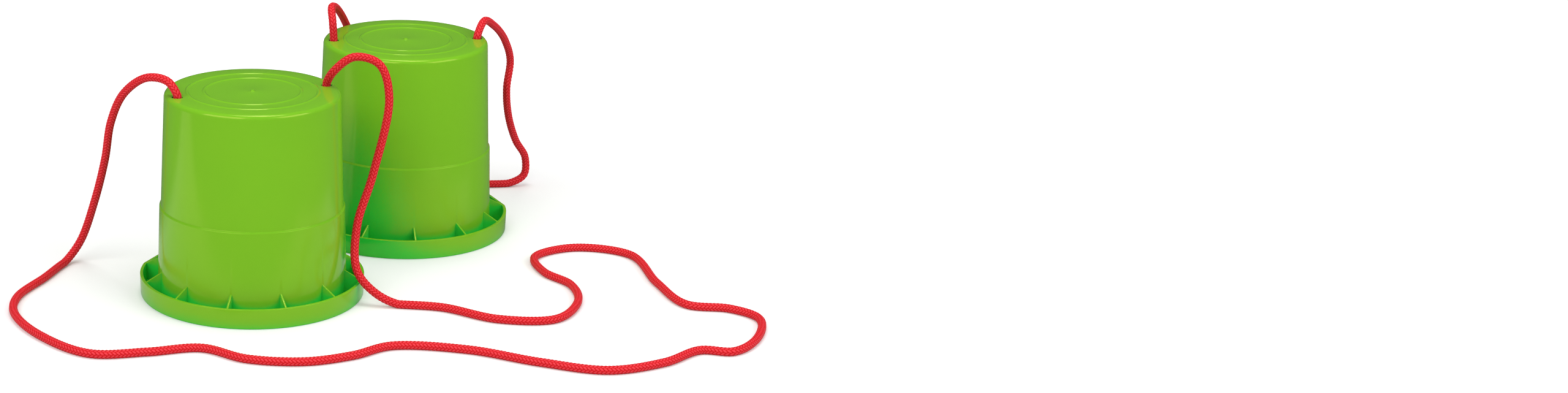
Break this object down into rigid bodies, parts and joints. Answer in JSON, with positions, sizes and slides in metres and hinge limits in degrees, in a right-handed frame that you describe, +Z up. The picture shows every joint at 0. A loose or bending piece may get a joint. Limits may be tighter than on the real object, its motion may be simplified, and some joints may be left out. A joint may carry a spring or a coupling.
{
  "type": "tin can stilts",
  "caption": "Pair of upturned plastic cup stilts with a ribbed foot rim, each with a loop of braided cord knotted under its tread.",
  "frame": {"origin": "on the floor, at the middle of the box round the two cups", "axes": "+Z up out of the treads, +X from the front cup's side towards the rear cup's side, +Y from the front cup to the rear cup"},
  "size_m": [0.4627, 0.424, 0.1519],
  "materials": {
    "green_plastic": "gloss",
    "red_cord": "matte"
  },
  "bodies": {
    "front_stilt": {"front_cup": "green_plastic", "front_rope": "red_cord", "front_knot_left": "red_cord", "front_knot_right": "red_cord"},
    "rear_stilt": {"rear_cup": "green_plastic", "rear_rope_left": "red_cord", "rear_rope_coil": "red_cord", "rear_rope_right": "red_cord", "rear_knot_left": "red_cord", "rear_knot_right": "red_cord"}
  },
  "joints": [
    {"name": "stilt_lift", "type": "slide", "parent": "front_stilt", "child": "rear_stilt", "axis": [0, 0, 1], "range_m": [0, 0.12]}
  ]
}
